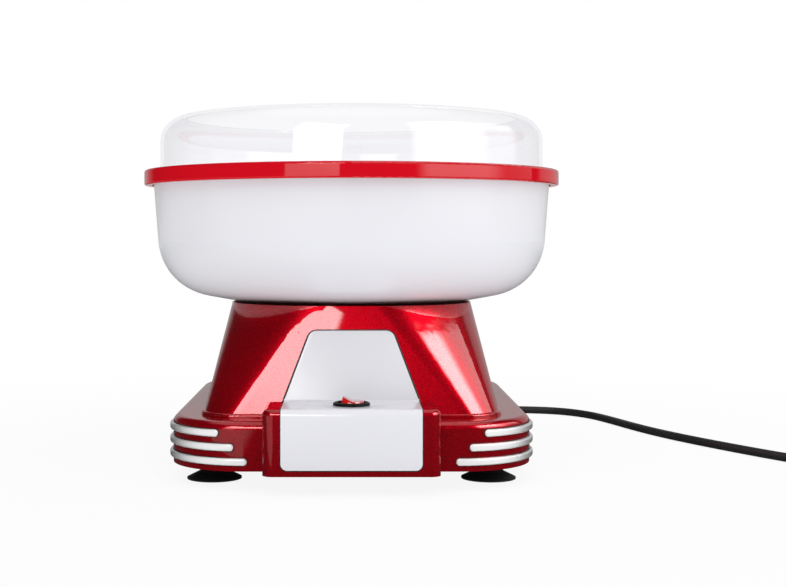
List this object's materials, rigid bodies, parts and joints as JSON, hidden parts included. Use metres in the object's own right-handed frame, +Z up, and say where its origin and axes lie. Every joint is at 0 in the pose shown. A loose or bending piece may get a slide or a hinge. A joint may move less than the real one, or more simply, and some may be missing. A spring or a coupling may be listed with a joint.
{
  "type": "electric cotton candy machine",
  "caption": "Tabletop cotton candy maker: red rounded base and tower, white bent front panel with a rocker switch, deep white bowl with red rim ring, clear guard and spinning head.",
  "frame": {"origin": "on the table under the spindle, midway between the ring's sides and between the front panel and the tip of the cord's strain relief", "axes": "+Z up along the spindle, -Y towards the side with the switch, +X to the right of someone who faces the switch"},
  "size_m": [0.5548, 0.3861, 0.238],
  "materials": {
    "housing_red": "metallic red lacquer with fine flake under a clear coat",
    "panel_white": "gloss moulding",
    "bowl_white": "gloss moulding",
    "guard_clear": "clear moulding, polished",
    "strip_silver": "satin",
    "foot_rubber": "matt moulded",
    "cover_black": "fine texture",
    "switch_black": "semi-matt moulding",
    "rocker_red": "translucent moulding",
    "terminal_brass": "as machined",
    "head_aluminium": "spun, lightly brushed",
    "tray_steel": "pressed sheet, zinc plated",
    "element_steel": "heat-darkened sheath",
    "bush_ceramic": "unglazed ceramic",
    "motor_steel": "drawn and plated",
    "screw_steel": "zinc plated",
    "board_laminate": "lacquered laminate",
    "cord_black": "smooth flexible sheath",
    "plug_black": "moulded",
    "plug_nickel": "nickel plated"
  },
  "bodies": {
    "housing": {"base_housing": "housing_red", "neck_housing": "housing_red", "front_frame": "housing_red", "front_panel": "panel_white", "trim_strip_left_upper": "strip_silver", "trim_strip_left_middle": "strip_silver", "trim_strip_left_lower": "strip_silver", "trim_strip_right_upper": "strip_silver", "trim_strip_right_middle": "strip_silver", "trim_strip_right_lower": "strip_silver", "suction_foot_front_left": "foot_rubber", "suction_foot_front_right": "foot_rubber", "suction_foot_rear_left": "foot_rubber", "suction_foot_rear_right": "foot_rubber", "bracket_bushes": "foot_rubber", "bottom_cover": "cover_black", "motor_end_cap": "cover_black", "strain_relief": "cover_black", "switch_body": "switch_black", "switch_terminals": "terminal_brass", "heater_tray": "tray_steel", "motor_bracket": "tray_steel", "thermal_cutout": "tray_steel", "tray_standoffs": "tray_steel", "heating_element": "element_steel", "element_bushes": "bush_ceramic", "motor_can": "motor_steel", "frame_screws": "screw_steel", "cover_screws": "screw_steel", "neck_screws": "screw_steel", "bracket_screws": "screw_steel", "motor_screws": "screw_steel", "tray_screws": "screw_steel", "rectifier_board": "board_laminate", "mains_cord": "cord_black", "cord_coil": "cord_black", "plug_body": "plug_black", "plug_pins": "plug_nickel"},
    "spindle": {"motor_shaft": "motor_steel", "drive_hub": "terminal_brass", "drive_pin": "motor_steel"},
    "head": {"head_base": "head_aluminium", "head_band": "head_aluminium", "head_cover": "head_aluminium", "head_screws": "screw_steel"},
    "bowl": {"bowl": "bowl_white", "rim_ring": "housing_red"},
    "guard": {"splash_guard": "guard_clear"},
    "rocker": {"switch_rocker": "rocker_red"}
  },
  "joints": [
    {"name": "spindle_spin", "type": "hinge", "parent": "housing", "child": "spindle", "pos_m": [0, 0, 0.08], "axis": [0, 0, 1], "continuous": true},
    {"name": "head_lift", "type": "slide", "parent": "spindle", "child": "head", "axis": [0, 0, 1], "range_m": [0, 0.14]},
    {"name": "bowl_lift", "type": "slide", "parent": "housing", "child": "bowl", "axis": [0, 0, 1], "range_m": [0, 0.07]},
    {"name": "guard_lift", "type": "slide", "parent": "bowl", "child": "guard", "axis": [0, 0, 1], "range_m": [0, 0.05]},
    {"name": "rocker_tilt", "type": "hinge", "parent": "housing", "child": "rocker", "pos_m": [0, -0.131, 0.0514], "axis": [0, -1, 0], "range_deg": [0, 25]}
  ]
}
